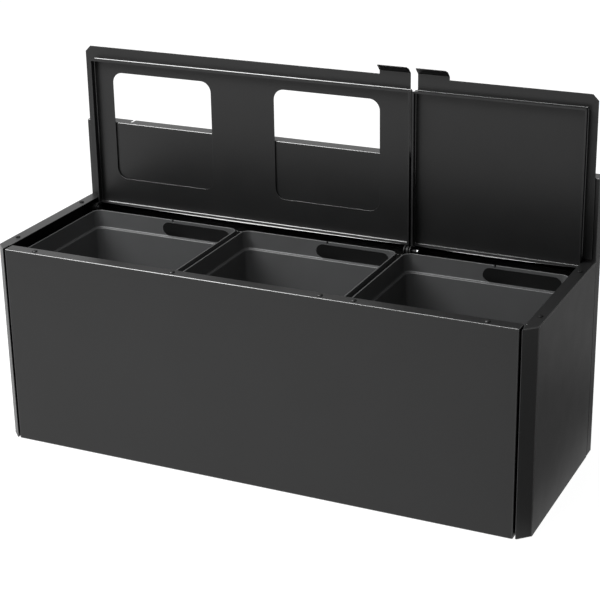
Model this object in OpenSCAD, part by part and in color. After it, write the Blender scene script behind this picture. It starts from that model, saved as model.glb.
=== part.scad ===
// Waste-sorting station: a sheet-steel cabinet with three lift-out bins,
// a wide lid with two windows, a narrow plain lid and a tall back panel.
// Millimetres. X runs along the cabinet, -Y is the front and +Z is up.
// The origin is on the floor, below the middle of the cabinet.
// Both lids are drawn open, standing against the back panel.

/* [Cabinet] */
// Overall width
cabinet_w = 900; // [860:10:960]
// Depth from the front face to the rear of the back panel
cabinet_d = 325; // [315:5:345]
// Height of the cabinet top
cabinet_h = 334; // [325:1:345]
// Height of the back panel
back_h = 467; // [430:1:520]
// How far the back panel's flanges reach backward
back_flange = 23; // [18:1:25]
// Width of the flanges round the top opening
top_flange = 21; // [18:1:21]
// Size of the 45 degree chamfer at the front corners
corner_chamfer = 19.5; // [15:0.5:22]
// Gap between the front panel and each chamfer
corner_gap = 3.5; // [2:0.5:5]
// Thickness of the sheet steel
sheet = 1.2; // [0.8:0.1:1.5]
// Clearance between the floor and the sheet steel
floor_gap = 2; // [1:0.5:4]

/* [Lids] */
// Where the wide lid meets the narrow lid, from the middle of the cabinet
lid_split = 149.5; // [145:0.5:155]
// Height of the hinge axis
hinge_z = 318; // [316:0.5:320]
// Distance of the hinge axis behind the front face
hinge_depth = 280.5; // [280:0.5:281]
// Distance from the hinge axis to the underside of a lid
lid_offset = 18.5; // [18:0.5:19]
// Distance from the hinge axis to the front edge of a lid
lid_reach = 278.4; // [275:0.2:280]
// How far a lid stands over the flanges at the cabinet's ends
lid_overlap = 14; // [10:1:16]
// Width of the lip along the front edge of a lid
lip_w = 20.4; // [18:0.2:22]
// Depth of the skirt round the underside of a lid
skirt_depth = 12.5; // [10:0.5:13]
// Side of a window
window_size = 185; // [150:5:200]
// Radius of a window's corners
window_radius = 18; // [10:1:30]
// Width of a finger tab
tab_w = 52; // [40:1:60]

/* [Bins] */
// Number of bins; the lids are shared out for three
bin_count = 3; // [3:1:3]
// Distance between the middles of two bins
bin_pitch = 285.5; // [282:0.5:288]
// Width of a bin over its rim
bin_w = 275; // [262:1:277]
// Depth of a bin over its rim
bin_d = 243; // [220:1:244]
// Height of a bin
bin_h = 306.8; // [280:0.2:307]
// Thickness of a bin's walls
bin_wall = 2.4; // [2:0.1:3]
// Height of the collar above the ledge
collar_h = 30; // [26:1:40]
// Length of a hand slot
slot_length = 128; // [90:1:130]
// Height of a hand slot
slot_h = 24; // [18:1:24]

/* [Hidden] */
$fn = 32;

half_w = cabinet_w / 2;
front_y = -cabinet_d / 2;
rear_y = cabinet_d / 2;
back_face_y = rear_y - back_flange;
opening_x = half_w - top_flange;
opening_y = front_y + top_flange;
chamfer_x = half_w - corner_chamfer;
front_half_w = chamfer_x - corner_gap;
return_w = 16;
top_z = cabinet_h;
under_top_z = top_z - sheet;

hinge_y = front_y + hinge_depth;
lid_sheet = 1;
lid_face_y = hinge_y + lid_offset;
lid_back_y = lid_face_y + lid_sheet;
lid_front_z = hinge_z + lid_reach;
lid_tail = 7;
lid_edge_x = opening_x + lid_overlap;
rim_lift = 3.5;
lid_rim_z = top_z + rim_lift;
skirt_gap = 1;
skirt_x = opening_x - skirt_gap;
skirt_top_z = lid_front_z - lip_w;
rear_wall_lift = 7;
rear_wall_z = hinge_z + rear_wall_lift;
skirt_y = lid_face_y - skirt_depth;
wall_fold = 5;
wall_fold_in = 12;
lip_gap = 6;
lip_shift = 1;
split_skirt_gap = 2.8;
corner_cut = 9.5;
window_lift = 144;
window_middle_z = hinge_z + window_lift;
window_pitch = 300;
tab_straight = 6;
tab_bend = 11;
tab_corner = 5;

pin_r = 3;
running_fit = 0.05;
bush_r = 4.5;
bush_flange_t = 0.8;
boss_r = 7;
ear_r = 8;
ear_t = 2;
ear_top_w = 9;
ear_root_w = 6;
pin_reach = 18;
pin_tail = 11;
end_pin_tail = 2.5;
pin_head_h = 2;
collar_step = 1.6;

base_z = 10;
seat_gap = 0.3;
bin_floor_z = base_z + sheet + seat_gap;
bin_setback = 6;
bin_front_y = opening_y + bin_setback;
rim_r = 16;
ledge_in = 5;
base_in = 10;
slot_start = -6;
slot_lift = 0.5;
nick_x = 14;
nick_w = 3;
nick_depth = 4;
screw_r = 3.8;
screw_stem_r = 1.9;
screw_head_h = 1.8;
screw_hole_r = screw_stem_r + running_fit;
flange_stem = 5;
back_stem = 6;
front_stem = 8;
divider_stem = 5;
through = 3;
small_head_r = 2.4;
small_head_h = 1.4;
bumper_r = 4.5;
bumper_h = 2.2;
bumper_dome_r = 6;
bumper_stem_r = 1.45;
bumper_stem = 3;
foot_r = 14;
foot_x = 390;
foot_y = [-115, 110];
steel = [0.17, 0.17, 0.175];
plastic = [0.2, 0.2, 0.205];
rubber = [0.06, 0.06, 0.06];
zinc = [0.7, 0.7, 0.72];

bumper_x = [-377, -129.5, 118, 172, 377];
flange_screw_x = half_w - top_flange / 2;
flange_screw_y = [front_y + 57, front_y + 251];
front_screw_y = front_y + 10;
front_screw_z = [60, 170, 280];
back_screw_x = half_w - 12;
back_screw_z = [50, 170, 290];

// A box between two corners.
module block(low, high) {
  translate(low) cube(high - low);
}

// A box and its mirror image across the middle of the cabinet.
module pair() {
  children();
  mirror([1, 0, 0]) children();
}

// A flat outline with rounded corners, drawn from its middle.
module rounded(w, d, r) {
  for (sx = [-1, 1], sy = [-1, 1])
    translate([sx * (w / 2 - r), sy * (d / 2 - r)]) circle(r);
  square([w - 2 * r, d], center = true);
  square([w, d - 2 * r], center = true);
}

// A screw with a low round head on top and its stem below the head.
module screw(stem) {
  cylinder(r = screw_r, h = screw_head_h);
  translate([0, 0, -stem]) cylinder(r = screw_stem_r, h = stem);
}

// A screw hole through sheet steel, along Z and from three millimetres below to three above.
module screw_hole(r = screw_hole_r) {
  translate([0, 0, -through]) cylinder(r = r, h = 2 * through);
}

// ---- cabinet ----

module front_panel() {
  color(steel) difference() {
    union() {
      block([-front_half_w, front_y, floor_gap], [front_half_w, front_y + sheet, top_z]);
      block([-front_half_w, front_y, under_top_z], [front_half_w, opening_y, top_z]);
      block([-front_half_w, front_y, floor_gap], [front_half_w, opening_y, floor_gap + sheet]);
      pair() block([front_half_w - sheet, front_y, floor_gap],
                   [front_half_w, front_y + return_w, top_z]);
    }
    for (x = bumper_x)
      translate([x, front_y + top_flange / 2, top_z]) screw_hole(bumper_stem_r + running_fit);
    pair() for (z = front_screw_z)
      translate([front_half_w, front_screw_y, z]) rotate([0, 90, 0]) screw_hole();
  }
}

end_rear_flange = 20;
half_turn = tan(22.5);

// The outline of an end panel's sheet from above: rear flange, side, chamfer and return.
module end_outline(t) {
  polygon([
    [half_w - end_rear_flange, back_face_y], [half_w, back_face_y],
    [half_w, front_y + corner_chamfer], [chamfer_x, front_y],
    [chamfer_x, front_y + return_w], [chamfer_x + t, front_y + return_w],
    [chamfer_x + t, front_y + (2 + half_turn) * t],
    [half_w - t, front_y + corner_chamfer + half_turn * t],
    [half_w - t, back_face_y - t], [half_w - end_rear_flange, back_face_y - t]
  ]);
}

module end_flange() {
  linear_extrude(sheet) difference() {
    polygon([
      [opening_x, back_face_y], [half_w, back_face_y], [half_w, front_y + corner_chamfer],
      [chamfer_x, front_y], [chamfer_x, front_y + top_flange], [opening_x, front_y + top_flange]
    ]);
    for (y = flange_screw_y) translate([flange_screw_x, y]) circle(screw_hole_r);
  }
}

module end_panel() {
  color(steel) difference() {
    union() {
      translate([0, 0, floor_gap]) linear_extrude(top_z - floor_gap) end_outline(sheet);
      translate([0, 0, under_top_z]) end_flange();
    }
    for (z = back_screw_z)
      translate([back_screw_x, back_face_y, z]) rotate([-90, 0, 0]) screw_hole();
    for (z = front_screw_z)
      translate([chamfer_x, front_screw_y, z]) rotate([0, 90, 0]) screw_hole();
  }
}

module left_end_panel() {
  mirror([1, 0, 0]) end_panel();
}

module right_end_panel() {
  end_panel();
}

wall_hole_in = 40;
wall_hole_x = half_w - wall_hole_in;
wall_hole_z = back_h - wall_hole_in;
wall_hole_r = 3.5;
notch_x = 370;
notch_w = 5;
notch_d = 13;

module back_panel() {
  color(steel) difference() {
    block([-half_w, back_face_y, floor_gap], [half_w, rear_y, back_h]);
    block([-half_w + sheet, back_face_y + sheet, floor_gap + sheet],
          [half_w - sheet, rear_y + 1, back_h - sheet]);
    pair() {
      // a notch in the top flange, and a hole near the end for fixing to a wall
      translate([notch_x, rear_y, back_h]) cube([notch_w, 2 * notch_d, 2 * through], center = true);
      translate([wall_hole_x, back_face_y, wall_hole_z]) rotate([-90, 0, 0]) screw_hole(wall_hole_r);
      for (z = back_screw_z)
        translate([back_screw_x, back_face_y, z]) rotate([-90, 0, 0]) screw_hole();
    }
  }
}

base_side_gap = 1;
base_half_w = front_half_w - sheet - base_side_gap;
base_front_y = front_y + 2 * sheet;
base_gap = 0.3;
base_corner = 4;
divider_x = bin_pitch / 2;
divider_h = 60;
divider_half_d = 90;
divider_foot = 5;
divider_screw_x = 3;
divider_screw_y = 60;

// Puts its child at each divider screw, at height z.
module at_divider_screws(z) {
  for (x = [-divider_x, divider_x], y = [-divider_screw_y, divider_screw_y])
    translate([x + divider_screw_x, y, z]) children();
}

// The outline of the base panel, drawn inset by t; it goes round the flanges of the end panels.
module base_outline(t) {
  wide = half_w - sheet - base_gap - t;
  narrow = base_half_w - t;
  step = front_y + return_w + 2 * base_gap + t;
  rear_step = back_face_y - sheet - base_gap - t;
  for (side = [-1, 1]) polygon([
    [0, base_front_y + t], [side * narrow, base_front_y + t], [side * narrow, step],
    [side * (wide - base_corner), step], [side * wide, step + base_corner],
    [side * wide, rear_step], [side * narrow, rear_step], [side * narrow, back_face_y - t],
    [0, back_face_y - t]
  ]);
}

module base_panel() {
  color(steel) difference() {
    translate([0, 0, floor_gap + sheet]) linear_extrude(base_z - floor_gap) base_outline(0);
    translate([0, 0, floor_gap]) linear_extrude(base_z - floor_gap) base_outline(sheet);
    at_divider_screws(base_z + sheet) screw_hole();
  }
}

// An upright angle between two bins; its foot lies on the base panel, turned toward +X.
module divider(x) {
  low = [x - sheet / 2, -divider_half_d, base_z + sheet];
  color(steel) difference() {
    union() {
      block(low, [x + sheet / 2, divider_half_d, base_z + divider_h]);
      block(low, [x + sheet / 2 + divider_foot, divider_half_d, base_z + 2 * sheet]);
    }
    at_divider_screws(base_z + 2 * sheet) screw_hole();
  }
}

module left_divider() {
  divider(-divider_x);
}

module right_divider() {
  divider(divider_x);
}

rail_z = 270;
rail_h = 32;
rail_shelf = 20;
rail_face_y = back_face_y - 2 * sheet;

// The rail behind the bins, which ties the end panels together and carries the middle hinge.
module rear_rail() {
  color(steel) difference() {
    union() {
      block([-half_w + sheet, rail_face_y, rail_z],
            [half_w - sheet, back_face_y - sheet, rail_z + rail_h]);
      block([-half_w + sheet, rail_face_y - rail_shelf, rail_z],
            [half_w - sheet, back_face_y - sheet, rail_z + sheet]);
    }
    pair() translate([back_screw_x, back_face_y, back_screw_z[2]]) rotate([-90, 0, 0]) screw_hole();
  }
}

end_inner_x = half_w - sheet;
bracket_sheet = 2;
bracket_w = 15;
bracket_drop = 25;

// A small angle under the cabinet top at each end, below the flange screws.
module corner_bracket() {
  start_y = flange_screw_y[0] - bracket_w;
  end = [end_inner_x, flange_screw_y[1] + bracket_w, under_top_z];
  color(steel) difference() {
    union() {
      block([end_inner_x - bracket_w, start_y, under_top_z - bracket_sheet], end);
      block([end_inner_x - bracket_sheet, start_y, under_top_z - bracket_drop], end);
    }
    for (y = flange_screw_y) translate([flange_screw_x, y, under_top_z]) screw_hole();
  }
}

module left_corner_bracket() {
  mirror([1, 0, 0]) corner_bracket();
}

module right_corner_bracket() {
  corner_bracket();
}

// ---- hinges ----

boss_gap = 0.8;
boss_end_x = skirt_x + boss_gap;
boss_plate = [2, 22, 28];
boss_plate_lead = 8;
boss_plate_drop = 20;
boss_plate_low = [end_inner_x - boss_plate[0], hinge_y - boss_plate_lead, hinge_z - boss_plate_drop];
left_split_x = lid_split - split_skirt_gap;
right_split_x = lid_split + split_skirt_gap;

// A cylinder along X on the hinge axis.
module on_axis(from_x, to_x, r) {
  translate([from_x, hinge_y, hinge_z]) rotate([0, 90, 0]) cylinder(r = r, h = to_x - from_x);
}

module hinge_boss() {
  color(steel) difference() {
    union() {
      on_axis(boss_end_x, end_inner_x, boss_r);
      block(boss_plate_low, boss_plate_low + boss_plate);
    }
    on_axis(boss_end_x - 1, half_w, pin_r + running_fit);
  }
}

module left_hinge_boss() {
  mirror([1, 0, 0]) hinge_boss();
}

module right_hinge_boss() {
  hinge_boss();
}

bracket_t = 3.4;
bracket_foot = [32, 18, sheet];
bracket_root = 4;
bracket_toe = 5;

module centre_hinge_bracket() {
  left = lid_split - bracket_t / 2;
  right = lid_split + bracket_t / 2;
  foot_low = [lid_split - bracket_foot[0] / 2, rail_face_y - bracket_foot[1], rail_z + sheet];
  color(steel) difference() {
    union() {
      hull() {
        on_axis(left, right, boss_r);
        block([left, hinge_y - bracket_toe, rail_z + sheet],
              [right, rail_face_y, rail_z + sheet + bracket_root]);
      }
      block(foot_low, foot_low + bracket_foot);
    }
    on_axis(left - 1, right + 1, pin_r + running_fit);
  }
}

module end_hinge_pins() {
  color(zinc) pair() {
    on_axis(skirt_x - sheet - ear_t - end_pin_tail, end_inner_x, pin_r);
  }
}

module centre_hinge_pin() {
  color(zinc) {
    on_axis(lid_split - pin_tail, lid_split + pin_reach, pin_r);
    on_axis(lid_split + pin_reach - pin_head_h, lid_split + pin_reach, pin_r + collar_step);
  }
}

// ---- rubber and fasteners ----

module lid_bumpers() {
  color(rubber) for (x = bumper_x) translate([x, front_y + top_flange / 2, top_z]) {
    intersection() {
      cylinder(r = bumper_r, h = bumper_h);
      translate([0, 0, bumper_h - bumper_dome_r]) sphere(bumper_dome_r);
    }
    translate([0, 0, -bumper_stem]) cylinder(r = bumper_stem_r, h = bumper_stem);
  }
}

stop_z = [400, 440];
stop_x = [-415, 115, 180, 415];
stop_r = 5;
stop_h = 1.6;

module lid_stops() {
  color(rubber) for (x = stop_x, z = stop_z)
    translate([x, back_face_y, z]) rotate([90, 0, 0]) cylinder(r = stop_r, h = stop_h);
}

module flange_screws() {
  color(steel) pair() for (y = flange_screw_y) translate([flange_screw_x, y, top_z]) screw(flange_stem);
}

module back_screws() {
  color(steel) pair() for (z = back_screw_z)
    translate([back_screw_x, back_face_y + sheet, z]) rotate([-90, 0, 0]) screw(back_stem);
}

module front_screws() {
  color(steel) pair() for (z = front_screw_z)
    translate([front_half_w - sheet, front_screw_y, z]) rotate([0, -90, 0]) screw(front_stem);
}

module divider_screws() {
  color(steel) at_divider_screws(base_z + 2 * sheet) {
    cylinder(r = small_head_r, h = small_head_h);
    translate([0, 0, -divider_stem]) cylinder(r = screw_stem_r, h = divider_stem);
  }
}

module feet() {
  color(rubber) for (x = [-foot_x, 0, foot_x], y = foot_y)
    translate([x, y, 0]) cylinder(r = foot_r, h = base_z);
}

// ---- lids ----

// The outline of a lid's sheet seen from the front, with x in X and height in Y.
// outer is the X of the edge at the cabinet's end, inner that at the split.
module lid_outline(outer, inner, lip_end) {
  out = sign(outer);
  low = hinge_z - lid_tail;
  polygon([
    [inner, low], [inner, skirt_top_z], [lip_end, skirt_top_z], [lip_end, lid_front_z],
    [outer - out * corner_cut, lid_front_z], [outer, lid_front_z - corner_cut],
    [outer, lid_rim_z], [out * skirt_x, lid_rim_z], [out * skirt_x, low]
  ]);
}

// Stands a flat outline up between the lid's face and its back.
module stand_up() {
  translate([0, lid_back_y, 0]) rotate([90, 0, 0]) linear_extrude(lid_sheet) children();
}

// A finger tab: it runs on from the lip, then turns down over the cabinet's front face.
module finger_tab(x) {
  block([x, lid_face_y, lid_front_z - 1], [x + tab_w, lid_back_y, lid_front_z + tab_straight]);
  difference() {
    translate([x, lid_back_y, lid_front_z + tab_straight]) rotate([45, 0, 0])
      translate([0, -lid_sheet, 0]) cube([tab_w, lid_sheet, tab_bend * sqrt(2)]);
    translate([x + tab_w, 0, lid_front_z + tab_straight + tab_bend])
      rotate([0, 45, 0]) cube([tab_corner, cabinet_d * 2, tab_corner], center = true);
  }
}

module wide_lid_panel() {
  color(steel) {
    stand_up() difference() {
      lid_outline(-lid_edge_x, left_split_x, lid_split - lip_gap + lip_shift);
      for (n = [-1, 0])
        translate([n * window_pitch, window_middle_z]) rounded(window_size, window_size, window_radius);
    }
    finger_tab(lid_split - lip_gap + lip_shift - tab_w);
  }
}

module narrow_lid_panel() {
  color(steel) {
    stand_up() lid_outline(lid_edge_x, right_split_x, lid_split + lip_gap + lip_shift);
    finger_tab(lid_split + lip_gap + lip_shift);
  }
}

// The skirt round the underside of a lid, between two X positions.
module lid_skirt(left, right) {
  color(steel) {
    difference() {
      block([left, skirt_y, rear_wall_z - sheet], [right, lid_face_y, skirt_top_z]);
      block([left + sheet, skirt_y - 1, rear_wall_z],
            [right - sheet, lid_face_y + 1, skirt_top_z - sheet]);
    }
    // the rear wall is folded down along its edge
    block([left + wall_fold_in, skirt_y, rear_wall_z - wall_fold],
          [right - wall_fold_in, skirt_y + sheet, rear_wall_z]);
  }
}

module wide_lid_skirt() {
  lid_skirt(-skirt_x, left_split_x);
}

module narrow_lid_skirt() {
  lid_skirt(right_split_x, skirt_x);
}

// A hinge ear, welded inside the end of a skirt, with a hole for its bush.
module ear(x) {
  color(steel) difference() {
    hull() {
      on_axis(x, x + ear_t, ear_r);
      block([x, lid_face_y - ear_top_w, rear_wall_z - 3 * sheet],
            [x + ear_t, lid_face_y, rear_wall_z - sheet]);
      block([x, lid_face_y - ear_root_w, hinge_z - lid_tail], [x + ear_t, lid_face_y, hinge_z]);
    }
    // the top is cut level, where it meets the skirt's rear wall
    block([x - 1, skirt_y - 1, rear_wall_z - sheet], [x + ear_t + 1, lid_back_y, rear_wall_z + ear_r]);
    on_axis(x - 1, x + ear_t + 1, bush_r);
  }
}

// A flanged bush in the hole of an ear; its flange is on the side that side names.
module bush(x, side) {
  flange_x = side < 0 ? x - bush_flange_t : x + ear_t;
  color(plastic) difference() {
    union() {
      on_axis(x, x + ear_t, bush_r);
      on_axis(flange_x, flange_x + bush_flange_t, bush_r + collar_step);
    }
    on_axis(x - 2, x + ear_t + 2, pin_r + running_fit);
  }
}

wide_ears_x = [-skirt_x + sheet, left_split_x - sheet - ear_t];
narrow_ears_x = [right_split_x + sheet, skirt_x - sheet - ear_t];

module wide_lid_ears() {
  for (x = wide_ears_x) ear(x);
}

module wide_lid_bushes() {
  bush(wide_ears_x[0], -1);
  bush(wide_ears_x[1], 1);
}

module narrow_lid_ears() {
  for (x = narrow_ears_x) ear(x);
}

module narrow_lid_bushes() {
  bush(narrow_ears_x[0], -1);
  bush(narrow_ears_x[1], 1);
}

// ---- bins ----

bin_middle_y = bin_front_y + bin_d / 2;
ledge_z = bin_floor_z + bin_h - collar_h;

// The shape below the ledge, tapered toward the floor and drawn inset by t.
module bin_body(t, low, high) {
  hull() {
    translate([0, 0, high - 1])
      linear_extrude(1) rounded(bin_w - 2 * (ledge_in + t), bin_d - 2 * (ledge_in + t), rim_r - t);
    translate([0, 0, low])
      linear_extrude(1) rounded(bin_w - 2 * (base_in + t), bin_d - 2 * (base_in + t), rim_r - t);
  }
}

module bin(n) {
  top = bin_floor_z + bin_h;
  slot_r = slot_h / 2;
  color(plastic) translate([(n - (bin_count - 1) / 2) * bin_pitch, bin_middle_y, 0]) difference() {
    union() {
      bin_body(0, bin_floor_z, ledge_z);
      translate([0, 0, ledge_z - bin_wall])
        linear_extrude(top - ledge_z + bin_wall) rounded(bin_w, bin_d, rim_r);
    }
    bin_body(bin_wall, bin_floor_z + bin_wall, ledge_z + 1);
    translate([0, 0, ledge_z])
      linear_extrude(collar_h + 1) rounded(bin_w - 2 * bin_wall, bin_d - 2 * bin_wall, rim_r - bin_wall);
    // the hand slot through the rear of the collar, and a nick in the rim above it
    translate([slot_start, bin_d / 2 + through, ledge_z + slot_lift + slot_r]) rotate([90, 0, 0])
      linear_extrude(2 * through + bin_wall) {
        translate([slot_r, 0]) circle(slot_r);
        translate([slot_length - slot_r, 0]) circle(slot_r);
        translate([slot_r, -slot_r]) square([slot_length - slot_h, slot_h]);
      }
    translate([nick_x, bin_d / 2, top]) cube([nick_w, 2 * through, 2 * nick_depth], center = true);
  }
}

module left_bin() {
  bin(0);
}

module middle_bin() {
  bin(1);
}

module right_bin() {
  bin(2);
}

front_panel();
left_end_panel();
right_end_panel();
back_panel();
base_panel();
left_divider();
right_divider();
rear_rail();
left_corner_bracket();
right_corner_bracket();
left_hinge_boss();
right_hinge_boss();
centre_hinge_bracket();
end_hinge_pins();
centre_hinge_pin();
lid_bumpers();
lid_stops();
flange_screws();
back_screws();
front_screws();
divider_screws();
feet();
wide_lid_panel();
wide_lid_skirt();
wide_lid_ears();
wide_lid_bushes();
narrow_lid_panel();
narrow_lid_skirt();
narrow_lid_ears();
narrow_lid_bushes();
left_bin();
middle_bin();
right_bin();
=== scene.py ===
"""Visual model of the waste sorting station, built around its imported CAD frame.

Metres, in the CAD's own frame: X runs along the cabinet, -Y is the front, +Z is up.
Every CAD node is replaced: the sheet steel by sheets with rolled bends and broken edges,
the bosses, bracket and ears of the hinges by copies with rounded edges, the bins by lofted
shells, and the fasteners, pins, bushes and rubber parts by turned shapes. All materials are
procedural.
"""

import math

import bmesh
import bpy
from mathutils import Matrix, Vector


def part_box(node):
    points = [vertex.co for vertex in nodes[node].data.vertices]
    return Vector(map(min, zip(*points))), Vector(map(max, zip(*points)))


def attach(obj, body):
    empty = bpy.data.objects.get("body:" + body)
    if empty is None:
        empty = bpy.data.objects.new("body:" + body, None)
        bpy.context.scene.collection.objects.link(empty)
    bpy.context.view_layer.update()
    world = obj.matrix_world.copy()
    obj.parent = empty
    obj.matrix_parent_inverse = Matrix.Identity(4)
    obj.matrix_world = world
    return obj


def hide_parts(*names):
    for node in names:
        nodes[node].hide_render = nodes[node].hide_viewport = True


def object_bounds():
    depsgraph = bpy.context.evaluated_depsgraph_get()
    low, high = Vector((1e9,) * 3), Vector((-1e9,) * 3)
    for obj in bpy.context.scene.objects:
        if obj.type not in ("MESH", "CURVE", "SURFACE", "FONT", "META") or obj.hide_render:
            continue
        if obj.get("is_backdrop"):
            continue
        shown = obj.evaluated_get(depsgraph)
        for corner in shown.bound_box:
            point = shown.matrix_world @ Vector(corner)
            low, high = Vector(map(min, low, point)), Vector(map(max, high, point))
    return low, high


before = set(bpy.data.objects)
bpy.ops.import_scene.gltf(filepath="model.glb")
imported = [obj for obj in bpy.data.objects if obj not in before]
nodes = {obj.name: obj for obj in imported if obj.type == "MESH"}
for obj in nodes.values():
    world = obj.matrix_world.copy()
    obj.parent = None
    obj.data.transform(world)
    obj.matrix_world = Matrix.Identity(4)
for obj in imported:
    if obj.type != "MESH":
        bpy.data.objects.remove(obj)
cad_lo, cad_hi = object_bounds()
MM = 0.001
X, Y, Z = range(3)
SIDES = (-1, 1)


def add_object(name, data):
    made = bpy.data.objects.new(name, data)
    bpy.context.scene.collection.objects.link(made)
    return made


# ---------------------------------------------------------------- shader nodes

class Nodes:
    """Adds and links shader nodes in the tree of a material or a world."""

    def __init__(self, owner, shader, **values):
        owner.use_nodes = True
        self.owner = owner
        self.tree = owner.node_tree
        self.shader = self.tree.nodes[shader]
        for socket, value in values.items():
            self.shader.inputs[socket.replace("_", " ")].default_value = value
        self.coords = self.tree.nodes.new("ShaderNodeTexCoord")

    def add(self, kind, inputs=None, **settings):
        """A new node. An input that is a socket is linked, and any other value is set."""
        made = self.tree.nodes.new("ShaderNode" + kind)
        for key, value in settings.items():
            setattr(made, key, value)
        for key, value in (inputs or {}).items():
            if isinstance(value, bpy.types.NodeSocket):
                self.tree.links.new(value, made.inputs[key])
            else:
                made.inputs[key].default_value = value
        return made

    def stretched(self, scale):
        """Object coordinates scaled by a different factor along each axis."""
        return self.add("Mapping", {"Vector": self.coords.outputs["Object"], "Scale": scale}).outputs[0]

    def noise(self, scale, detail=2.0, roughness=0.5, vector=None):
        made = self.add("TexNoise", {"Vector": vector or self.coords.outputs["Object"],
                                     "Scale": scale, "Detail": detail, "Roughness": roughness})
        return made.outputs["Fac"]

    def spread(self, value, over, onto):
        """Maps the range over onto the range onto, and holds the ends beyond it."""
        made = self.add("MapRange", {"Value": value, "From Min": over[0], "From Max": over[1],
                                     "To Min": onto[0], "To Max": onto[1]})
        return made.outputs["Result"]

    def mix(self, factor, a, b):
        """A colour between a and b; the inputs are the mix node's factor and its two colours."""
        return self.add("Mix", {0: factor, 6: a, 7: b}, data_type="RGBA").outputs[2]

    def maths(self, operation, a, b):
        return self.add("Math", {0: a, 1: b}, operation=operation).outputs[0]

    def edges(self, radius):
        """About 0 on flat faces, rising to 1 along edges."""
        bevel = self.add("Bevel", {"Radius": radius}, samples=4)
        geometry = self.add("NewGeometry")
        turn = self.add("VectorMath", {0: bevel.outputs[0], 1: geometry.outputs["Normal"]},
                        operation="DOT_PRODUCT")
        return self.spread(turn.outputs["Value"], over=(0.86, 0.995), onto=(1.0, 0.0))

    def bump(self, height, distance, strength, below=None):
        """A bump that stands on the bump below, if there is one."""
        values = {"Height": height, "Distance": distance, "Strength": strength}
        if below is not None:
            values["Normal"] = below
        return self.add("Bump", values).outputs[0]

    def connect(self, **sockets):
        """Links the results to the shader's sockets and returns the finished material or world."""
        for socket, value in sockets.items():
            self.tree.links.new(value, self.shader.inputs[socket.replace("_", " ")])
        return self.owner


def surface(name, **values):
    return Nodes(bpy.data.materials.new(name), "Principled BSDF", **values)


def grey(value, tint=0.0):
    """A grey that a positive tint makes bluer and a negative one warmer."""
    return (value * (1 - tint), value, value * (1 + tint), 1.0)


# ---------------------------------------------------------------- materials

def powder_coat(name, tone, rough, worn, gloss=0.5):
    """Black powder coat: faint clouds, specks, polished edges, orange peel and a fine texture.

    tone is its grey, worn the grey of its worn edges, and gloss its specular level.
    """
    n = surface(name, Specular_IOR_Level=gloss)
    clouds = n.spread(n.noise(9.0, detail=3.0), over=(0.35, 0.65), onto=(0.0, 1.0))
    colour = n.mix(clouds, grey(tone * 0.93, 0.01), grey(tone * 1.07, 0.015))
    specks = n.spread(n.noise(2600.0, detail=1.0), over=(0.62, 0.8), onto=(0.0, 0.5))
    colour = n.mix(specks, colour, grey(tone * 1.6, 0.01))
    patches = n.spread(n.noise(70.0, detail=4.0), over=(0.38, 0.62), onto=(0.15, 1.0))
    wear = n.maths("MULTIPLY", n.edges(0.9 * MM), patches)
    colour = n.mix(n.maths("MULTIPLY", wear, 0.55), colour, grey(worn, 0.01))
    smudges = n.noise(22.0, detail=5.0, roughness=0.6)
    roughness = n.spread(smudges, over=(0.3, 0.7), onto=(rough - 0.02, rough + 0.02))
    roughness = n.maths("SUBTRACT", roughness, n.maths("MULTIPLY", wear, 0.07))
    peel = n.bump(n.noise(420.0), 0.05 * MM, 0.30)
    grain = n.bump(n.noise(1900.0), 0.02 * MM, 0.35, below=peel)
    return n.connect(Base_Color=colour, Roughness=roughness, Normal=grain)


def moulded(name, tone, rough):
    """Moulded polypropylene: flow marks, scuffed edges and a matt spark-eroded grain."""
    n = surface(name, Specular_IOR_Level=0.46)
    flow = n.noise(5.0, detail=4.0, roughness=0.55, vector=n.stretched((1.0, 1.0, 0.25)))
    marks = n.spread(flow, over=(0.3, 0.7), onto=(0.0, 1.0))
    colour = n.mix(marks, grey(tone * 0.9, 0.01), grey(tone * 1.1, 0.02))
    patches = n.spread(n.noise(120.0, detail=4.0), over=(0.42, 0.62), onto=(0.0, 1.0))
    scuffs = n.maths("MULTIPLY", n.edges(1.0 * MM), patches)
    colour = n.mix(n.maths("MULTIPLY", scuffs, 0.6), colour, grey(tone * 2.4, 0.01))
    sheen = n.noise(30.0, detail=4.0)
    roughness = n.spread(sheen, over=(0.3, 0.7), onto=(rough - 0.05, rough + 0.05))
    cells = n.add("TexVoronoi", {"Vector": n.coords.outputs["Object"], "Scale": 1300.0})
    grain = n.bump(cells.outputs["Distance"], 0.05 * MM, 0.35)
    waves = n.bump(n.noise(14.0), 0.4 * MM, 0.12, below=grain)
    return n.connect(Base_Color=colour, Roughness=roughness, Normal=waves)


def rubber(name, tone, rough):
    """Moulded rubber, dull and a little dusty."""
    n = surface(name, Specular_IOR_Level=0.45)
    dust = n.spread(n.noise(240.0, detail=4.0), over=(0.5, 0.75), onto=(0.0, 0.5))
    colour = n.mix(dust, grey(tone), grey(tone * 2.2, -0.02))
    smudges = n.noise(90.0, detail=3.0)
    roughness = n.spread(smudges, over=(0.3, 0.7), onto=(rough - 0.08, rough + 0.08))
    grain = n.bump(n.noise(1600.0, detail=3.0), 0.06 * MM, 0.4)
    return n.connect(Base_Color=colour, Roughness=roughness, Normal=grain)


def turned_metal(name, tone, rough):
    """Bright turned metal, with rings across X for a pin that lies along X."""
    n = surface(name, Metallic=1.0)
    rings = n.noise(5200.0, vector=n.stretched((1.0, 0.04, 0.04)))
    stains = n.spread(n.noise(160.0, detail=4.0), over=(0.35, 0.7), onto=(0.0, 1.0))
    colour = n.mix(stains, grey(tone, 0.015), grey(tone * 0.78))
    roughness = n.spread(rings, over=(0.3, 0.7), onto=(rough - 0.07, rough + 0.1))
    return n.connect(Base_Color=colour, Roughness=roughness, Normal=n.bump(rings, 0.02 * MM, 0.3))


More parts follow.
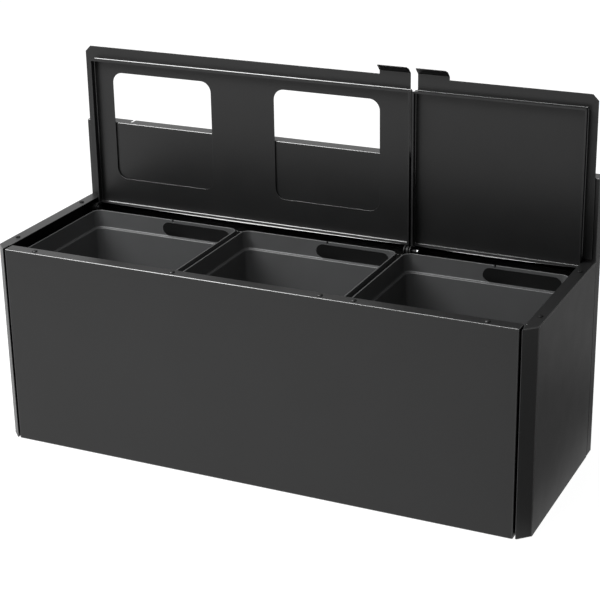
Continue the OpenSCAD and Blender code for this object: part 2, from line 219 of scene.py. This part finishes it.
STEEL = powder_coat("powder_coat", tone=0.0065, rough=0.35, worn=0.02)
# the bends' coat: its lighter tone is a painted highlight along the bends; its higher gloss and lower
# roughness give them real highlights too
BEND_PAINTED_HIGHLIGHT = powder_coat("powder_coat_bend_painted_highlight", tone=0.012, rough=0.2, worn=0.03, gloss=1.0)
# the hinge parts' coat: its darker tone is painted shade, for hinges that sit in shade at the rear; it is
# also rougher and less glossy
HINGE_PAINTED_SHADE = powder_coat("hinge_coat_painted_shade", tone=0.005, rough=0.55, worn=0.01, gloss=0.25)
PLASTIC = moulded("moulded_bin", tone=0.047, rough=0.42)
RUBBER = rubber("rubber", tone=0.012, rough=0.7)
BUMPER = rubber("bumper_rubber", tone=0.004, rough=0.42)
ZINC = turned_metal("zinc_plate", tone=0.66, rough=0.24)
SCREW = powder_coat("screw_oxide", tone=0.004, rough=0.55, worn=0.02, gloss=0.2)
NYLON = moulded("nylon", tone=0.008, rough=0.6)


# ---------------------------------------------------------------- outlines

def arc(middle, radii, start, end, steps):
    """Points of an elliptical arc in a plane, from start to end in degrees."""
    angles = [math.radians(start + (end - start) * i / steps) for i in range(steps + 1)]
    return [(middle[0] + radii[0] * math.cos(a), middle[1] + radii[1] * math.sin(a)) for a in angles]


def rounded_rectangle(width, depth, radius, corner_steps):
    """Points anticlockwise round a rectangle with rounded corners."""
    points = []
    for corner, (sx, sy) in enumerate(((1, 1), (-1, 1), (-1, -1), (1, -1))):
        middle = (sx * (width / 2 - radius), sy * (depth / 2 - radius))
        points += arc(middle, (radius, radius), 90 * corner, 90 * (corner + 1), corner_steps)
    return points


def stadium(start, length, height, steps=10):
    """A slot with round ends, from start along the first axis."""
    r = height / 2
    right = arc((start + length - r, 0), (r, r), -90, 90, steps)
    left = arc((start + r, 0), (r, r), 90, 270, steps)
    return right + left


# ---------------------------------------------------------------- building helpers

def mesh_from(b, name):
    bmesh.ops.recalc_face_normals(b, faces=b.faces)
    mesh = bpy.data.meshes.new(name)
    b.to_mesh(mesh)
    b.free()
    return mesh


def finish_piece(name, mesh, material, body, node):
    """Makes a mesh into a piece that rides on a body and stands for a CAD node."""
    mesh.materials.append(material)
    mesh.shade_smooth()
    made = add_object(name, mesh)
    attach(made, body)
    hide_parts(node)
    return made


def bevel_modifier(piece, width, segments, weighted):
    """Rounds a piece's edges, by their weights or where they are sharp, and keeps its faces flat."""
    bevel = piece.modifiers.new("soft_edges", "BEVEL")
    bevel.width = width
    bevel.segments = segments
    bevel.limit_method = "WEIGHT" if weighted else "ANGLE"
    bevel.angle_limit = math.radians(40)
    bevel.use_clamp_overlap = not weighted
    bevel.miter_outer = "MITER_ARC"
    normals = piece.modifiers.new("flat_faces", "WEIGHTED_NORMAL")
    normals.mode = "FACE_AREA"
    normals.weight = 100
    normals.keep_sharp = True
    return bevel


def loft(b, rings, hollow=False):
    """Joins rings of points. The end rings are closed off, or joined to each other when hollow."""
    rows = [[b.verts.new(p) for p in ring] for ring in rings]
    if hollow:
        rows.append(rows[0])
    count = len(rows[0])
    for low, high in zip(rows, rows[1:]):
        for i in range(count):
            j = (i + 1) % count
            b.faces.new((low[i], low[j], high[j], high[i]))
    if not hollow:
        b.faces.new(list(reversed(rows[0])))
        b.faces.new(rows[-1])


def turned(b, place, axis, profile, steps, hollow):
    """A solid of revolution round an axis through place.

    profile holds (along, radius) or (along, radius, depth of six lobes), in millimetres.
    """
    turn = Vector((0, 0, 1)).rotation_difference(Vector(axis)).to_matrix().to_4x4()
    matrix = Matrix.Translation(place) @ turn @ Matrix.Scale(MM, 4)
    rings = []
    for along, radius, *lobes in profile:
        ring = []
        for i in range(steps):
            a = 2 * math.pi * i / steps
            r = radius * (1 + (lobes[0] * math.cos(6 * a) if lobes else 0))
            ring.append(matrix @ Vector((r * math.cos(a), r * math.sin(a), along)))
        rings.append(ring)
    loft(b, rings, hollow)


def turned_piece(name, node, body, material, items, steps=36, hollow=False):
    """One piece made of several turned shapes; items holds their (place, axis, profile)."""
    b = bmesh.new()
    for place, axis, profile in items:
        turned(b, place, axis, profile, steps, hollow)
    piece = finish_piece(name, mesh_from(b, name), material, body, node)
    crisp = piece.modifiers.new("crisp_edges", "EDGE_SPLIT")
    crisp.split_angle = math.radians(38)


def prism(b, place, points, half_depth):
    """An outline in X and Z round place, with half_depth either way along Y."""
    rings = [[Vector(place) + Vector((x, y, z)) for x, z in points] for y in (-half_depth, half_depth)]
    loft(b, rings)


def carve(piece, tools):
    """Subtracts the solids in the bmesh tools from the piece."""
    mesh = mesh_from(tools, "cutter")
    tool = add_object("cutter", mesh)
    cut = piece.modifiers.new("cut", "BOOLEAN")
    cut.operation = "DIFFERENCE"
    cut.solver = "EXACT"
    cut.object = tool
    with bpy.context.temp_override(object=piece, active_object=piece):
        bpy.ops.object.modifier_apply(modifier="cut")
    bpy.data.objects.remove(tool)
    bpy.data.meshes.remove(mesh)


# ---------------------------------------------------------------- sheet steel

# the sheets' thicknesses, their outer bend radii, and how far their cut edges are broken
SHEET = 1.2 * MM
LID_SHEET = 1.0 * MM
BRACKET_SHEET = 2.0 * MM
BEND_R = 1.6 * MM
LID_BEND_R = 1.4 * MM
SKIRT_BEND_R = 2.1 * MM
BRACKET_BEND_R = 2.4 * MM
CUT_EDGE = 0.22 * MM
SKIRT_CUT_EDGE = 0.1 * MM
# an edge shorter than this is a facet of a small round hole, and stays sharp
SMALL_HOLE_FACET = 0.8 * MM


def strip_width(face):
    """A face's area over its longest edge: for a cut edge of a sheet, the sheet's thickness."""
    return face.calc_area() / max(e.calc_length() for e in face.edges)


def convex(edge):
    """Whether the faces turn away from each other along the edge."""
    a, b = edge.link_faces
    return (b.calc_center_median() - edge.verts[0].co).dot(a.normal) < 0


def edge_share(edge, thickness, bend, cut):
    """The share of the bend radius that rounds an edge.

    Cut edges are barely broken, outer bends get the whole radius, inner bends get the radius
    less the sheet's thickness, and flat or tiny edges stay as they are.
    """
    if len(edge.link_faces) != 2 or edge.calc_face_angle(0) < math.radians(20):
        return 0.0
    length = edge.calc_length()
    if length < SMALL_HOLE_FACET:
        return 0.0
    narrow = any(strip_width(f) < 1.2 * thickness for f in edge.link_faces)
    if narrow or length < 4 * thickness:
        return cut / bend
    if convex(edge):
        return 1.0
    return (bend - thickness) / bend


def split_at(b, axis, places):
    """Splits the faces along planes across an axis, and marks the new edges as seams."""
    normal = Vector((0, 0, 0))
    normal[axis] = 1
    for place in places:
        made = bmesh.ops.bisect_plane(b, geom=b.verts[:] + b.edges[:] + b.faces[:], dist=1e-7,
                                      plane_co=normal * place, plane_no=normal)
        for part in made["geom_cut"]:
            if isinstance(part, bmesh.types.BMEdge):
                part.seam = True


def bent_sheet(node, body, thickness, splits=(), bend=BEND_R, cut=CUT_EDGE):
    """A node of bent sheet with rolled bends, and with its cut edges broken.

    splits holds (axis, places) of planes through its holes, so that no face has a hole in it.
    """
    b = bmesh.new()
    b.from_mesh(nodes[node].data)
    bmesh.ops.remove_doubles(b, verts=b.verts, dist=0.01 * MM)
    for axis, places in splits:
        split_at(b, axis, places)
    bmesh.ops.dissolve_limit(b, angle_limit=math.radians(0.6), verts=b.verts, edges=b.edges,
                             delimit={"SEAM"})
    b.normal_update()
    share = b.edges.layers.float.new("bevel_weight_edge")
    for edge in b.edges:
        edge[share] = edge_share(edge, thickness, bend, cut)
    mesh = bpy.data.meshes.new(node + "_sheet")
    b.to_mesh(mesh)
    b.free()
    piece = finish_piece(node + "_sheet", mesh, STEEL, body, node)
    mesh.materials.append(BEND_PAINTED_HIGHLIGHT)
    bevel = bevel_modifier(piece, bend, 4, weighted=True)
    bevel.material = 1  # the bends' coat, whose lighter tone is a painted highlight


# the screws' heads, in millimetres
HEAD_R = 3.8
HEAD_H = 1.8
SMALL_HEAD_R = 2.4
SMALL_HEAD_H = 1.4

flange_lo, flange_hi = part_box("flange_screws")
divider_lo, divider_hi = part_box("divider_screws")
FLANGE_SCREW_Y = [flange_lo.y + HEAD_R * MM, flange_hi.y - HEAD_R * MM]
DIVIDER_SCREW_Y = [divider_lo.y + SMALL_HEAD_R * MM, divider_hi.y - SMALL_HEAD_R * MM]
FRONT_SCREW_Z = [z * MM for z in (60, 170, 280)]
BACK_SCREW_Z = [z * MM for z in (50, 170, 290)]
BUMPER_X = [x * MM for x in (-377, -129.5, 118, 172, 377)]
# the back panel's holes for its own screws and for the wall's
BACK_HOLE_X = [x * MM for x in (-438, -410, 410, 438)]
WINDOW_X = [x * MM for x in (-300, 0)]
# each skirt is one frame, split near its middle
WIDE_SKIRT_X = [-140 * MM]
NARROW_SKIRT_X = [290 * MM]

bent_sheet("front_panel", "cabinet", SHEET, [(X, BUMPER_X), (Z, FRONT_SCREW_Z)])
for node in ("left_end_panel", "right_end_panel"):
    bent_sheet(node, "cabinet", SHEET, [(Y, FLANGE_SCREW_Y), (Z, FRONT_SCREW_Z + BACK_SCREW_Z)])
bent_sheet("back_panel", "cabinet", SHEET, [(X, BACK_HOLE_X)])
for node in ("base_panel", "left_divider", "right_divider"):
    bent_sheet(node, "cabinet", SHEET, [(Y, DIVIDER_SCREW_Y)])
bent_sheet("rear_rail", "cabinet", SHEET, [(Z, BACK_SCREW_Z[-1:])])
for node in ("left_corner_bracket", "right_corner_bracket"):
    bent_sheet(node, "cabinet", BRACKET_SHEET, [(Y, FLANGE_SCREW_Y)], BRACKET_BEND_R)
bent_sheet("wide_lid_panel", "wide_lid", LID_SHEET, [(X, WINDOW_X)], LID_BEND_R)
bent_sheet("wide_lid_skirt", "wide_lid", SHEET, [(X, WIDE_SKIRT_X)], SKIRT_BEND_R, SKIRT_CUT_EDGE)
bent_sheet("narrow_lid_panel", "narrow_lid", LID_SHEET, [], LID_BEND_R)
bent_sheet("narrow_lid_skirt", "narrow_lid", SHEET, [(X, NARROW_SKIRT_X)], SKIRT_BEND_R, SKIRT_CUT_EDGE)


# ---------------------------------------------------------------- hinge parts

def machined(node, body):
    """A hinge part in the node's own shape, with its sharp edges rounded."""
    b = bmesh.new()
    b.from_mesh(nodes[node].data)
    bmesh.ops.remove_doubles(b, verts=b.verts, dist=0.01 * MM)
    mesh = mesh_from(b, node + "_detail")
    piece = finish_piece(node + "_detail", mesh, HINGE_PAINTED_SHADE, body, node)
    bevel_modifier(piece, 0.3 * MM, 2, weighted=False)


for node in ("left_hinge_boss", "right_hinge_boss", "centre_hinge_bracket"):
    machined(node, "cabinet")
for lid in ("wide_lid", "narrow_lid"):
    machined(lid + "_ears", lid)

# the profiles of the turned pieces are in millimetres, as (along, radius)
PIN_R = 3.0
END_PIN_LENGTH = 24.3
PIN_HEAD = 2.0
# the dark shaft starts this far inside the CAD pin's left end
SHAFT_INSET = 2.5

lo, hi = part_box("end_hinge_pins")
axis_y = (lo.y + hi.y) / 2
axis_z = (lo.z + hi.z) / 2
end_pin = [(0, PIN_R - 0.9), (0.7, PIN_R - 0.15), (1.1, PIN_R), (END_PIN_LENGTH - 0.3, PIN_R),
           (END_PIN_LENGTH, PIN_R - 0.3)]
turned_piece("end_hinge_pins_turned", "end_hinge_pins", "cabinet", ZINC,
             [((side * (hi.x - END_PIN_LENGTH * MM), axis_y, axis_z), (side, 0, 0), end_pin)
              for side in SIDES])

lo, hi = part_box("centre_hinge_pin")
shaft_length = (hi.x - lo.x) / MM - PIN_HEAD - SHAFT_INSET
shaft = [(0, PIN_R - 1.1), (0.6, PIN_R - 0.25), (1.1, PIN_R), (shaft_length, PIN_R)]
turned_piece("centre_hinge_pin_shaft", "centre_hinge_pin", "cabinet", SCREW,
             [((lo.x + SHAFT_INSET * MM, axis_y, axis_z), (1, 0, 0), shaft)])
pin_head = [(0, PIN_R + 1.2), (0.3, PIN_R + 1.55), (0.6, PIN_R + 1.6), (1.3, PIN_R + 1.5),
            (1.7, PIN_R + 1.0), (1.9, PIN_R), (PIN_HEAD, 1.2), (PIN_HEAD - 0.3, 0.9)]
turned_piece("centre_hinge_pin_head", "centre_hinge_pin", "cabinet", ZINC,
             [((hi.x - PIN_HEAD * MM, axis_y, axis_z), (1, 0, 0), pin_head)])

bush = [(0, 3.2), (0, 5.9), (0.2, 6.1), (0.6, 6.1), (0.8, 5.95), (0.8, 4.5), (2.6, 4.5), (2.8, 4.35),
        (2.8, 3.25), (2.65, 3.06), (0.15, 3.06)]
for lid in ("wide_lid", "narrow_lid"):
    lo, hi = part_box(lid + "_bushes")
    turned_piece(lid + "_bushes_turned", lid + "_bushes", lid, NYLON,
                 [((lo.x, axis_y, axis_z), (1, 0, 0), bush), ((hi.x, axis_y, axis_z), (-1, 0, 0), bush)],
                 hollow=True)


# ---------------------------------------------------------------- screws

STEM_R = 1.9
# the screws' lengths below their heads
FLANGE_STEM = 5
BACK_STEM = 6
FRONT_STEM = 8
DIVIDER_STEM = 5


def screw_profile(radius, height, stem, socket=1.25):
    """A domed head with a six-lobed recess; its underside is at 0 and its stem below that."""
    side = height * 0.45
    foot = [(-stem, STEM_R * 0.6), (-stem + 0.8, STEM_R), (0, STEM_R), (0, radius - 0.2), (0.15, radius)]
    dome = arc((side, socket + 0.5), (height - side, radius - socket - 0.5), 90, 0, 6)
    recess = [(height, socket * 0.92, 0.13), (height - 0.12, socket * 0.87, 0.15),
              (height - 1.05, socket * 0.85, 0.15), (height - 1.15, socket * 0.6, 0.15)]
    return foot + dome + recess


def screw_piece(node, profile, heads):
    """All the screws of a node; heads holds the place and the axis of each head's underside."""
    turned_piece(node + "_turned", node, "cabinet", SCREW,
                 [(place, axis, profile) for place, axis in heads])


lo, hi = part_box("flange_screws")
screw_piece("flange_screws", screw_profile(HEAD_R, HEAD_H, FLANGE_STEM),
            [((side * (hi.x - HEAD_R * MM), y, hi.z - HEAD_H * MM), (0, 0, 1))
             for side in SIDES for y in FLANGE_SCREW_Y])
lo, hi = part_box("back_screws")
screw_piece("back_screws", screw_profile(HEAD_R, HEAD_H, BACK_STEM),
            [((side * (hi.x - HEAD_R * MM), hi.y - HEAD_H * MM, z), (0, 1, 0))
             for side in SIDES for z in BACK_SCREW_Z])
lo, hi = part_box("front_screws")
screw_piece("front_screws", screw_profile(HEAD_R, HEAD_H, FRONT_STEM),
            [((side * (hi.x - FRONT_STEM * MM), (lo.y + hi.y) / 2, z), (-side, 0, 0))
             for side in SIDES for z in FRONT_SCREW_Z])
lo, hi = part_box("divider_screws")
screw_piece("divider_screws", screw_profile(SMALL_HEAD_R, SMALL_HEAD_H, DIVIDER_STEM, socket=0.9),
            [((x, y, hi.z - SMALL_HEAD_H * MM), (0, 0, 1))
             for x in (lo.x + SMALL_HEAD_R * MM, hi.x - SMALL_HEAD_R * MM) for y in DIVIDER_SCREW_Y])


# ---------------------------------------------------------------- rubber parts

BUMPER_H = 2.2
lo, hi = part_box("lid_bumpers")
bumper = [(-3, 1.1), (-2.6, 1.45), (0, 1.45), (0, 4.3), (0.2, 4.5), (0.7, 4.42), (1.2, 4.0), (1.6, 3.35),
          (1.9, 2.5), (2.1, 1.5), (BUMPER_H, 0.5)]
turned_piece("lid_bumpers_moulded", "lid_bumpers", "cabinet", BUMPER,
             [((x, (lo.y + hi.y) / 2, hi.z - BUMPER_H * MM), (0, 0, 1), bumper) for x in BUMPER_X])

STOP_R = 5.0
# the stops either side of the gap between the lids
MIDDLE_STOP_X = (115 * MM, 180 * MM)
lo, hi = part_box("lid_stops")
stop = [(0, STOP_R - 0.1), (0.2, STOP_R), (0.9, STOP_R - 0.1), (1.35, STOP_R - 0.6), (1.55, STOP_R - 1.6),
        (1.6, STOP_R - 3.0), (1.5, 1.0)]
stop_x = (lo.x + STOP_R * MM, *MIDDLE_STOP_X, hi.x - STOP_R * MM)
stop_z = (lo.z + STOP_R * MM, hi.z - STOP_R * MM)
turned_piece("lid_stops_moulded", "lid_stops", "cabinet", RUBBER,
             [((x, hi.y, z), (0, -1, 0), stop) for x in stop_x for z in stop_z])

FOOT_R = 14.0
lo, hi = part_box("feet")
foot = [(1.2, 5.5), (0.3, 6.0), (0, 6.6), (0, 12.2), (0.5, 12.9), (3.0, 13.6), (8.2, FOOT_R),
        (9.4, FOOT_R), (10, FOOT_R - 0.5)]
foot_x = (lo.x + FOOT_R * MM, 0, hi.x - FOOT_R * MM)
foot_y = (lo.y + FOOT_R * MM, hi.y - FOOT_R * MM)
turned_piece("feet_moulded", "feet", "cabinet", RUBBER,
             [((x, y, lo.z), (0, 0, 1), foot) for x in foot_x for y in foot_y], steps=48)


# ---------------------------------------------------------------- bins

WALL = 2.4 * MM
RIM_SOFT = 0.6 * MM
CORNER_R = 16 * MM
CORNER_R_MIN = 6 * MM
CORNER_STEPS = 8
# how far the body stands inside the collar, at the ledge and at the floor
LEDGE_IN = 5 * MM
BASE_IN = 10 * MM
BASE_R = 5 * MM
COLLAR_H = 30 * MM
FILLET_H = 2.2 * MM
FILLET_IN = 0.75 * FILLET_H
SLOT_START = -6 * MM
SLOT_LENGTH = 128 * MM
SLOT_H = 24 * MM
SLOT_RISE = 0.5 * MM
NICK_X = 14 * MM
NICK_HALF_W = 1.5 * MM
NICK_HALF_H = 4 * MM
CUT_DEPTH = 3.2 * MM
CUT_SOFT = 0.35 * MM


def bin_profile(height):
    """(inset, height) pairs from the outer foot, over the rim, to the inner floor."""
    ledge = height - COLLAR_H
    under = ledge - WALL
    lip = LEDGE_IN + WALL
    # the outer foot, the body and the underside of the collar
    points = arc((BASE_IN + BASE_R, BASE_R), (BASE_R, BASE_R), -90, -180, 6)
    points += [(LEDGE_IN + 0.2 * MM, under - 1.0 * MM), (LEDGE_IN - 0.8 * MM, under)]
    points += [(1.4 * MM, under), (0.4 * MM, under + 0.4 * MM), (0, under + 1.4 * MM)]
    # the rim
    points += arc((RIM_SOFT, height - RIM_SOFT), (RIM_SOFT, RIM_SOFT), 180, 90, 4)
    points += arc((WALL - RIM_SOFT, height - RIM_SOFT), (RIM_SOFT, RIM_SOFT), 90, 0, 4)
    # the ledge, from its fillet to its rounded lip
    points += arc((WALL + FILLET_IN, ledge + FILLET_H), (FILLET_IN, FILLET_H), 180, 270, 4)
    points += [(lip - 1.5 * MM, ledge), (lip - 0.7 * MM, ledge - 0.25 * MM),
               (lip - 0.2 * MM, ledge - 0.8 * MM), (lip + 0.05 * MM, ledge - 1.8 * MM)]
    # the inner floor
    points += arc((BASE_IN + WALL + BASE_R, WALL + BASE_R), (BASE_R, BASE_R), 180, 270, 6)
    return points


def build_bin(node):
    """A lofted bin with a hand slot and a small nick cut through the rear of its collar."""
    lo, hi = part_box(node)
    width, depth, height = hi - lo
    middle = (lo + hi) / 2
    rings = []
    for inset, z in bin_profile(height):
        radius = max(CORNER_R - min(inset, WALL * 2), CORNER_R_MIN)
        ring = rounded_rectangle(width - 2 * inset, depth - 2 * inset, radius, CORNER_STEPS)
        rings.append([(middle.x + x, middle.y + y, lo.z + z) for x, y in ring])
    b = bmesh.new()
    loft(b, rings)
    mesh = mesh_from(b, node + "_shell")
    piece = finish_piece(node + "_shell", mesh, PLASTIC, node, node)
    tools = bmesh.new()
    slot_z = hi.z - COLLAR_H + SLOT_RISE + SLOT_H / 2
    prism(tools, (middle.x, hi.y, slot_z), stadium(SLOT_START, SLOT_LENGTH, SLOT_H), CUT_DEPTH)
    nick = [(-NICK_HALF_W, -NICK_HALF_H), (NICK_HALF_W, -NICK_HALF_H),
            (NICK_HALF_W, NICK_HALF_H), (-NICK_HALF_W, NICK_HALF_H)]
    prism(tools, (middle.x + NICK_X, hi.y, hi.z), nick, CUT_DEPTH)
    carve(piece, tools)
    piece.data.shade_smooth()
    bevel_modifier(piece, CUT_SOFT, 2, weighted=False)


for name in ("left_bin", "middle_bin", "right_bin"):
    build_bin(name)


# ---------------------------------------------------------------- floor

FLOOR_HALF = 20.0
FLOOR_SEEN = 0.975


def floor_material():
    """A pale floor that looks almost white everywhere, and lights the object unevenly.

    The camera's rays see at least FLOOR_SEEN. Other rays see a painted glow that stands in for the light
    on
    the floor: low just right of the object, as its painted shadow, higher under it, in front of it and
    far to its right, and highest behind it.
    """
    n = Nodes(bpy.data.materials.new("floor"), "Principled BSDF", Roughness=0.9, Specular_IOR_Level=0.1,
              Emission_Color=(1, 1, 1, 1))
    clouds = n.spread(n.noise(0.7), over=(0.3, 0.7), onto=(0.0, 1.0))
    tint = n.mix(clouds, grey(0.16), grey(0.155))
    place = n.add("SeparateXYZ", {0: n.coords.outputs["Object"]}).outputs
    right_end = (cad_hi.x - 0.04, cad_hi.x + 0.06)
    # the glow falls off just right of the object: a painted shadow of it on the floor
    near = n.spread(place["X"], over=right_end, onto=(0.62, 0.07))
    far_right = n.spread(place["X"], over=(cad_hi.x + 0.6, cad_hi.x + 1.1), onto=(0.0, 0.55))
    behind = n.spread(place["Y"], over=(cad_hi.y, cad_hi.y + 0.4), onto=(0.0, 1.0))
    rear = n.maths("MULTIPLY", behind, n.spread(place["X"], over=right_end, onto=(1.0, 0.15)))
    painted_floor_glow = n.maths("MAXIMUM", n.maths("MAXIMUM", near, far_right), rear)
    seen = n.maths("MULTIPLY", n.add("LightPath").outputs["Is Camera Ray"], FLOOR_SEEN)
    return n.connect(Base_Color=tint, Emission_Strength=n.maths("MAXIMUM", painted_floor_glow, seen))


floor_mesh = bpy.data.meshes.new("floor")
floor_corners = [(-FLOOR_HALF, -FLOOR_HALF, 0), (FLOOR_HALF, -FLOOR_HALF, 0),
                 (FLOOR_HALF, FLOOR_HALF, 0), (-FLOOR_HALF, FLOOR_HALF, 0)]
floor_mesh.from_pydata(floor_corners, [], [(0, 1, 2, 3)])
floor_mesh.materials.append(floor_material())
floor = add_object("floor", floor_mesh)
floor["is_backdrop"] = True


# ---------------------------------------------------------------- lights and room

def area_light(name, place, aim, size, power):
    light = bpy.data.lights.new(name, "AREA")
    light.shape = "RECTANGLE"
    light.size, light.size_y = size
    light.energy = power
    made = add_object(name, light)
    made.location = place
    made.rotation_euler = (Vector(aim) - Vector(place)).to_track_quat("-Z", "Y").to_euler()


centre = (cad_lo + cad_hi) / 2
area_light("top", (-1.0, -0.85, 1.8), aim=centre, size=(1.2, 1.2), power=76)
area_light("strip", (0.05, -0.85, 1.8), aim=(0.45, 0.0, 0.3), size=(0.7, 0.6), power=15)
area_light("key", (-2.2, -3.0, 1.9), aim=centre, size=(2.0, 1.6), power=10)
area_light("fill", (3.2, -0.6, 2.2), aim=centre, size=(1.6, 1.6), power=8)


def studio():
    """A room that looks white, and lights the object mostly from behind and less from its right."""
    n = Nodes(bpy.data.worlds.new("studio"), "Background", Strength=1.0)
    direction = n.add("SeparateXYZ", {0: n.coords.outputs["Generated"]}).outputs
    rearward = n.spread(direction["Y"], over=(0.0, 0.7), onto=(0.12, 0.78))
    leftward = n.spread(direction["X"], over=(-0.1, 0.35), onto=(1.0, 0.2))
    seen = n.add("LightPath").outputs["Is Camera Ray"]
    return n.connect(Color=n.mix(seen, n.maths("MULTIPLY", rearward, leftward), grey(1.0)))


bpy.context.scene.world = studio()


# ---------------------------------------------------------------- camera

AZIMUTH = math.radians(25.47)
ELEVATION = math.radians(21.54)
ROLL = math.radians(-1.01)
CAMERA_PLACE = Vector((1.0973, -2.2757, 1.2503))

camera = bpy.data.cameras.new("camera")
camera.sensor_width = 36
camera.lens = 102.9
camera.clip_end = 100
view = add_object("camera", camera)
back = Vector((math.sin(AZIMUTH) * math.cos(ELEVATION), -math.cos(AZIMUTH) * math.cos(ELEVATION),
               math.sin(ELEVATION)))
level = Vector((math.cos(AZIMUTH), math.sin(AZIMUTH), 0))
right = math.cos(ROLL) * level + math.sin(ROLL) * back.cross(level)
up = back.cross(right)
view.matrix_world = Matrix.Translation(CAMERA_PLACE) @ Matrix((right, up, back)).transposed().to_4x4()
bpy.context.scene.camera = view
bpy.context.scene.view_settings.view_transform = "Standard"

lo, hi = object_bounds()
